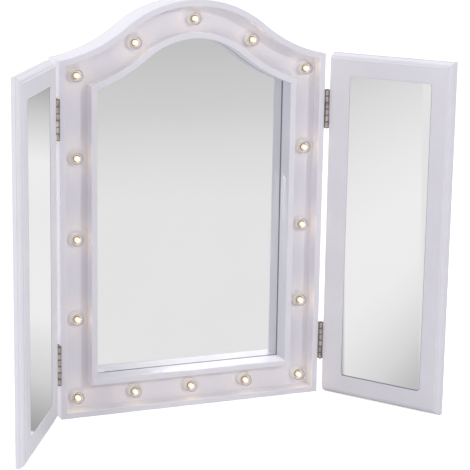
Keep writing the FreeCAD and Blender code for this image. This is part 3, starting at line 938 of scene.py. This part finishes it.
class MIRROR_OT_wings(bpy.types.Operator):
    """Makes the two wing boards with their routed moulding, and their mirrors"""
    bl_idname = "mirror.wings"
    bl_label = "Wings"

    def execute(self, context):
        sizes = context.scene.mirror_wings
        for side in SIDES:
            wing = WingFrame(side)
            self.board(side, wing, sizes)
            self.glass(side, wing, sizes)
        return {"FINISHED"}

    def board(self, side, wing, sizes):
        """A wing board: its moulded front, and the pocket for its mirror."""
        node = f"{side}_wing_board"
        box = wing.box(node)
        face = box[0][1]
        width = sizes.moulding_step + sizes.moulding_radius
        section = [(0.0, box[1][1] - face), (0.0, width)]
        section += arc((width, width), sizes.moulding_radius, 180, 270, MOULDING_STEPS)
        section.append((width, 0.0))
        rings = [wing.ring(box, (0.0, inset), face + depth, 0.0, sizes.corner_steps)
                 for inset, depth in section]
        rings += [wing.ring(box, (sizes.border, sizes.border), face + depth, sizes.pocket_corner,
                            sizes.corner_steps) for depth in (0.0, sizes.pocket_depth)]
        piece = loft_rings(f"{node}_painted", rings, [finished("paint")])
        dressed(settled(piece, sizes.board_edge), f"{side}_wing", "white_paint", node)

    def glass(self, side, wing, sizes):
        """A wing mirror, with its silvering where it shows through the glass."""
        node = f"{side}_wing_mirror"
        box = wing.box(node)
        front, back = box[0][1], box[1][1]
        rim = sizes.glass_rim
        corner = sizes.pocket_corner - GLASS_PLAY
        section = ((0.0, back), (0.0, front), (rim, front), (rim, front + sizes.silver_depth))
        rings = [wing.ring(box, (inset, inset), depth, corner - inset, sizes.corner_steps)
                 for inset, depth in section]
        silvered(node, rings, f"{side}_wing")
        self.bead(side, wing, sizes, box)

    def bead(self, side, wing, sizes, box):
        """The paint that fills the joint between the glass and its pocket, with painted shadow on two of
        its sides.
        """
        board = wing.box(f"{side}_wing_board")
        face, glass = board[0][1], box[0][1]
        gap = box[0][0] - board[0][0] - sizes.border
        skin, soft, root = 0.00005, 0.00015, 0.0005
        lap = sizes.glass_rim + 0.0001
        section = ((-gap, glass + root), (-gap, face + skin), (-gap + soft, face), (lap, glass - skin),
                   (lap, glass), (0.0, glass), (0.0, glass + root))
        rings = [wing.ring(box, (inset, inset), depth, sizes.pocket_corner - gap - inset,
                           sizes.corner_steps) for inset, depth in section]
        points = [point for ring in rings for point in ring]
        columns = len(rings[0])
        faces = grid_faces(len(rings), columns, True, True)
        # The faces on the two sides where the pocket's wall lies in shade take the dark paint, a painted
        # shadow
        corner = columns // 4
        first = corner // 2 + (corner if side == "left" else 0)
        shaded = range(first, first + 2 * corner)
        indices = [1 if quad[0] % columns in shaded else 0 for quad in faces]
        finishing = [finished("paint"), finished("gap_paint")]
        piece = piece_from(f"{side}_wing_mirror_bead", points, faces, finishing, indices)
        dressed(settled(piece), f"{side}_wing", "white_paint")


class MIRROR_OT_bulbs(bpy.types.Operator):
    """Makes the bulbs in the trough: ribbed collars, clear globes and lit LEDs"""
    bl_idname = "mirror.bulbs"
    bl_label = "Bulbs"

    def execute(self, context):
        sizes = context.scene.mirror_bulbs
        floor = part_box("light_board")[0].y
        places = [middle(box, floor) for box in solids_of("bulb_globes")]
        boxes = [solids_of(f"bulb_{kind}")[0] for kind in ("collars", "globes", "leds")]
        flange, globe, led = [half_width(box) for box in boxes]
        seat, top, tip = [floor - box[0].y for box in boxes]
        neck = math.sqrt(globe ** 2 - (top - globe - seat) ** 2)
        cup = led + sizes.shade_cup_width
        parts = (
            ("bulb_collars_ribbed", self.collar(sizes, flange, neck, seat), "collar", "collar_plastic",
             "bulb_collars"),
            ("bulb_globes_clear", self.globe(sizes, globe, neck, seat, top), "globe", "clear_globe",
             "bulb_globes"),
            ("bulb_leds_lit", self.led(led, seat, tip), "led", "led_resin", "bulb_leds"),
            # A dark ring of painted shadow round each LED's foot
            ("bulb_led_cups", self.ring(led + LED_PLAY, cup, seat, 0.0), "cup", "collar_plastic"),
            ("bulb_led_dishes", self.ring(cup, neck - DISH_EDGE, seat, DISH_SINK), "dish",
             "collar_plastic"),
        )
        for name, (points, faces), material, slot, *nodes in parts:
            shape = piece_from(f"{name}_one", points, faces, [finished(material)])
            piece = repeated(name, shape, places, TO_FRONT, finished(material))
            piece.visible_shadow = material != "globe"
            dressed(piece, CENTRE, slot, *nodes)
        finished("led").cycles.emission_sampling = "NONE"
        return {"FINISHED"}

    def collar(self, sizes, flange, neck, seat):
        """A collar: its foot flange, its ribbed neck, and the socket in its end."""
        soft = 0.0003
        profile = [(0.0, 0.0), (flange, 0.0), (flange, sizes.flange_height - soft),
                   (flange - soft, sizes.flange_height), (neck + soft, sizes.flange_height)]
        pitch = (seat - sizes.flange_height) / (RIBS + 0.2)
        for rib in range(RIBS):
            foot = sizes.flange_height + (rib + 0.25) * pitch
            profile += [(neck, foot), (neck + sizes.rib_depth, foot + 0.2 * pitch),
                        (neck + sizes.rib_depth, foot + 0.45 * pitch), (neck, foot + 0.65 * pitch)]
        socket = neck - SOCKET_LIP
        profile += [(neck, seat - soft), (neck - soft, seat), (socket + LIP_EDGE, seat),
                    (socket, seat - LIP_EDGE), (socket, seat - SOCKET_DEPTH), (0.0, seat - SOCKET_DEPTH)]
        return turned_mesh(profile, sizes.turn_steps)

    def globe(self, sizes, radius, neck, seat, top):
        """A hollow globe, open where it sits on its collar."""
        centre = (0.0, top - radius)
        seat_angle = math.degrees(math.atan2(seat - centre[1], neck))
        inner = radius - sizes.globe_wall
        inner_angle = math.degrees(math.asin((seat - centre[1]) / inner))
        profile = arc(centre, radius, seat_angle, 90.0, GLOBE_STEPS)
        profile += arc(centre, inner, 90.0, inner_angle, GLOBE_STEPS)
        return turned_mesh(profile, sizes.turn_steps, close_ends=False)

    def led(self, radius, seat, tip):
        """A round-nosed LED, rooted in its collar."""
        profile = [(0.0, seat - LED_ROOT), (radius, seat - LED_ROOT)]
        profile += arc((0.0, tip - radius), radius, 0.0, 90.0, NOSE_STEPS)
        return turned_mesh(profile, SMALL_TURN_STEPS)

    def ring(self, inner, outer, seat, sink):
        """A flat ring round the LED's foot, sunk below the collar's lip."""
        foot, top, soft = seat - SOCKET_DEPTH, seat - sink, 0.0002
        profile = [(inner, foot), (outer, foot), (outer, top - soft), (outer - soft, top), (inner, top)]
        return turned_mesh(profile, RING_STEPS, close_ends=False)


class MIRROR_OT_hinges(bpy.types.Operator):
    """Gives the four butt hinges their plate and their screws their zinc"""
    bl_idname = "mirror.hinges"
    bl_label = "Hinges"

    def execute(self, context):
        for part in ("centre_leaf", "wing_leaf", "pin"):
            paint_nodes("nickel", *[f"{place}_hinge_{part}" for place in HINGE_PLACES])
        paint_nodes("zinc", "centre_hinge_screws", "left_wing_hinge_screws", "right_wing_hinge_screws")
        return {"FINISHED"}


class MIRROR_OT_back(bpy.types.Operator):
    """Finishes the back: the hardboard, its cross-head screws, the battens and the wiring"""
    bl_idname = "mirror.back"
    bl_label = "Back"

    def execute(self, context):
        paint_nodes("board", "back_panel")
        paint_nodes("wood", "left_batten", "right_batten", "bottom_batten")
        paint_nodes("sleeve", "wiring_loom")
        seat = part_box("back_panel")[1].y
        solids = solids_of("back_panel_screws")
        places = [middle(box, seat) for box in solids]
        low, high = solids[0]
        shape = self.screw(half_width(solids[0]), high.y - seat, seat - low.y)
        piece = repeated("back_panel_screws_crossed", shape, places, TO_BACK, finished("zinc"),
                         turn=math.pi / 2, seed=11)
        dressed(piece, CENTRE, "screw_steel", "back_panel_screws")
        return {"FINISHED"}

    def screw(self, head, height, shank):
        """A pan-head screw about Z with a cross recess."""
        thread = 0.0012
        flat = 0.78 * head
        profile = [(thread, -shank), (thread, 0.0), (head, 0.0), (head, 0.35 * height),
                   (0.93 * head, 0.75 * height), (flat, height)]
        points, faces = turned_mesh(profile, SMALL_TURN_STEPS)
        faces.pop()
        arm, half = 0.6 * head, 0.13 * head
        cross = []
        for quarter in range(4):
            turn = Matrix.Rotation(quarter * math.pi / 2, 2)
            cross += [turn @ Vector(p) for p in ((arm, -half), (arm, half), (half, half))]
        first, corners = len(points), len(cross)
        points += [(p.x, p.y, height) for p in cross]
        points += [(0.75 * p.x, 0.75 * p.y, 0.3 * height) for p in cross]
        floor = first + corners
        for i in range(corners):
            after = (i + 1) % corners
            faces.append((first + i, floor + i, floor + after, first + after))
        faces.append(tuple(range(floor, floor + corners)))
        mesh = bpy.data.meshes.new("screw_one")
        mesh.from_pydata(points, [], faces)
        work = bmesh.new()
        work.from_mesh(mesh)
        open_edges = [e for e in work.edges if len(e.link_faces) == 1]
        bmesh.ops.triangle_fill(work, use_beauty=True, edges=open_edges)
        bmesh.ops.recalc_face_normals(work, faces=work.faces)
        work.to_mesh(mesh)
        work.free()
        shade_by_angle(mesh, SCREW_SHARP_ANGLE)
        return placed("screw_one", mesh)


class MIRROR_OT_battery(bpy.types.Operator):
    """Finishes the battery box, its cover, cells and contacts, and the switch"""
    bl_idname = "mirror.battery"
    bl_label = "Battery box"

    def execute(self, context):
        paint_nodes("plastic", "battery_box", "battery_cover")
        paint_nodes("cell", "battery_cells")
        paint_nodes("zinc", "battery_contacts")
        paint_nodes("black", "switch_body", "switch_slider")
        return {"FINISHED"}


class MIRROR_OT_stage(bpy.types.Operator):
    """Sets the pale floor, the soft lights and the camera"""
    bl_idname = "mirror.stage"
    bl_label = "Stage"

    def execute(self, context):
        scene = context.scene
        stage = scene.mirror_stage
        scene.view_settings.view_transform = "Standard"
        self.floor()
        self.room(scene, stage)
        self.lights(scene, stage)
        self.camera(scene, stage)
        self.reflections()
        return {"FINISHED"}

    def reflections(self):
        """Keeps the mirrors clear, so that they show the room and the rim round the centre mirror."""
        for piece in bpy.data.objects:
            if piece.type == "MESH" and piece.name != "pale_floor":
                piece.visible_glossy = any(name in piece.name for name in REFLECTED)

    def floor(self):
        """A pale floor that takes the object's shadow."""
        reach = 9.0
        mesh = bpy.data.meshes.new("pale_floor")
        corners = [(-reach, -reach, 0), (reach, -reach, 0), (reach, reach, 0), (-reach, reach, 0)]
        mesh.from_pydata(corners, [], [(0, 1, 2, 3)])
        mesh.materials.append(finish("pale_floor", self.floor_paint))
        floor = placed("pale_floor", mesh)

    def floor_paint(self, spot):
        """The floor's finish, paler to the camera, and to the mirrors a painted reflection: greys along
        its runs that paint the floor's light and shade.
        """
        grain = noise(spot, 3.0, 2.0)
        seen = spot.node("ShaderNodeLightPath", output="Is Camera Ray")
        plain = spot.node("ShaderNodeBsdfPrincipled", None, {
            "Base Color": mixed(grain, (0.74, 0.74, 0.75, 1.0), (0.76, 0.76, 0.77, 1.0)),
            "Roughness": 0.9,
            "Specular IOR Level": 0.1,
        })
        white = spot.node("ShaderNodeEmission", None,
                          {"Color": (1.0, 1.0, 1.0, 1.0), "Strength": 0.66})
        lifted = spot.node("ShaderNodeAddShader", None, {0: plain, 1: white})
        mirrored = spot.node("ShaderNodeLightPath", output="Is Glossy Ray")
        across = split(spot, "X")
        back = split(spot, "Y")
        # Painted light and shade for the mirrors: greys given as emission rather than lit, darker close
        # behind and beside the object
        beside = self.fall(BESIDE_START - across + BESIDE_LEAN * back, FLOOR_BESIDE)
        before = self.fall(0.0 - back, FLOOR_BEFORE)
        behind = self.fall(back + BEHIND_START, FLOOR_BEHIND)
        front = mixed(spread(BEFORE_LEAN * across - back, *BEFORE_EDGE), beside, before)
        shade = mixed(spread(back - BEHIND_LEAN * across, *BEHIND_EDGE), front, behind)
        clear = spot.node("ShaderNodeEmission", None, {"Color": shade, "Strength": 1.0})
        shown = spot.node("ShaderNodeMixShader", None, {0: seen, 1: plain, 2: lifted})
        return spot.node("ShaderNodeMixShader", None, {0: mirrored, 1: shown, 2: clear})

    def fall(self, run, levels):
        """Painted greys of light and shade along a run over the floor."""
        stops = [(metres / FLOOR_RUN, (grey, grey, grey, 1.0)) for metres, grey in levels]
        share = spread(run, 0.0, FLOOR_RUN)
        return share.node("ShaderNodeValToRGB", {"stops": stops}, {"Fac": share})

    def room(self, scene, stage):
        """A pale room, brighter behind the object, and plain white to the camera."""
        world = bpy.data.worlds.new("pale_room")
        world.use_nodes = True
        tree = world.node_tree
        tree.nodes.clear()
        start = Wire(tree)
        seen = start.node("ShaderNodeLightPath", output="Is Camera Ray")
        way = start.node("ShaderNodeTexCoord", output="Generated")
        strength = spread(split(way, "Y"), -0.3, 0.5, stage.room_level, stage.backdrop_level)
        room = start.node("ShaderNodeBackground", None,
                          {"Color": (0.985, 0.985, 1.0, 1.0), "Strength": strength})
        white = start.node("ShaderNodeBackground", None,
                           {"Color": (1.0, 1.0, 1.0, 1.0), "Strength": 1.0})
        start.node("ShaderNodeOutputWorld", None, {
            "Surface": start.node("ShaderNodeMixShader", None, {0: seen, 1: room, 2: white})})
        scene.world = world

    def lights(self, scene, stage):
        """The soft lights of the room, the light on the ledge and a lamp at every LED."""
        for name, place, size, power in LIGHTS:
            light = lamp(name, "AREA", place, power, shape="DISK", size=size)
            ahead = Vector(LIGHTS_AIM) - Vector(place)
            light.rotation_euler = ahead.to_track_quat("-Z", "Y").to_euler()
        self.bounce()
        for box in solids_of("bulb_leds"):
            place = middle(box, box[0].y - LED_LAMP_AHEAD)
            light = lamp("led_light", "POINT", place, stage.lamp_power, shadow_soft_size=LED_LAMP_RADIUS,
                         color=tuple(scene.mirror_colours.glow)[:3])
            light.visible_glossy = False

    def bounce(self):
        """The light that the centre mirror throws down on its own lower wall."""
        width, depth = LEDGE_LIGHT_SIZE
        light = lamp("ledge_light", "AREA", LEDGE_LIGHT_PLACE, LEDGE_LIGHT_POWER, shape="RECTANGLE",
                     size=width, size_y=depth, spread=math.radians(LEDGE_LIGHT_SPREAD))
        light.visible_camera = False
        light.visible_glossy = False

    def camera(self, scene, stage):
        """The camera, at its eye and turned by its three angles."""
        ahead = Vector((math.sin(stage.yaw) * math.cos(stage.pitch),
                        math.cos(stage.yaw) * math.cos(stage.pitch), -math.sin(stage.pitch)))
        right = Vector((math.cos(stage.yaw), -math.sin(stage.yaw), 0.0))
        down = ahead.cross(right)
        across = math.cos(stage.roll) * right + math.sin(stage.roll) * down
        below = math.cos(stage.roll) * down - math.sin(stage.roll) * right
        lens = bpy.data.cameras.new("photo_camera")
        lens.sensor_width = SENSOR_WIDTH
        lens.lens = SENSOR_WIDTH * stage.focal_pixels / IMAGE_PIXELS
        lens.clip_end = 100.0
        camera = placed("photo_camera", lens)
        turn = Matrix((across, -below, -ahead)).transposed()
        camera.matrix_world = Matrix.Translation(Vector(stage.eye)) @ turn.to_4x4()
        scene.camera = camera


OPERATORS = (MIRROR_OT_rims, MIRROR_OT_centre_glass, MIRROR_OT_wings, MIRROR_OT_bulbs, MIRROR_OT_hinges,
             MIRROR_OT_back, MIRROR_OT_battery, MIRROR_OT_stage)
SETTINGS = {
    "mirror_centre": CentrePanelSizes,
    "mirror_wings": WingSizes,
    "mirror_bulbs": BulbSizes,
    "mirror_colours": FinishColours,
    "mirror_stage": StageSettings,
}


class VIEW3D_PT_mirror(bpy.types.Panel):
    """Lists the steps that build the mirror"""
    bl_idname = "VIEW3D_PT_mirror"
    bl_label = "Dressing mirror"
    bl_space_type = "VIEW_3D"
    bl_region_type = "UI"
    bl_category = "Mirror"

    def draw(self, context):
        for operator in OPERATORS:
            self.layout.operator(operator.bl_idname)


def register():
    for name, group in SETTINGS.items():
        bpy.utils.register_class(group)
        setattr(bpy.types.Scene, name, bpy.props.PointerProperty(type=group))
    for operator in OPERATORS:
        bpy.utils.register_class(operator)
    bpy.utils.register_class(VIEW3D_PT_mirror)


def unregister():
    bpy.utils.unregister_class(VIEW3D_PT_mirror)
    for operator in reversed(OPERATORS):
        bpy.utils.unregister_class(operator)
    for name, group in reversed(SETTINGS.items()):
        delattr(bpy.types.Scene, name)
        bpy.utils.unregister_class(group)


def main():
    """Builds the mirror and its stage."""
    register()
    steps = bpy.ops.mirror
    for step in (steps.rims, steps.centre_glass, steps.wings, steps.bulbs, steps.hinges, steps.back,
                 steps.battery, steps.stage):
        step()


if __name__ == "__main__":
    main()
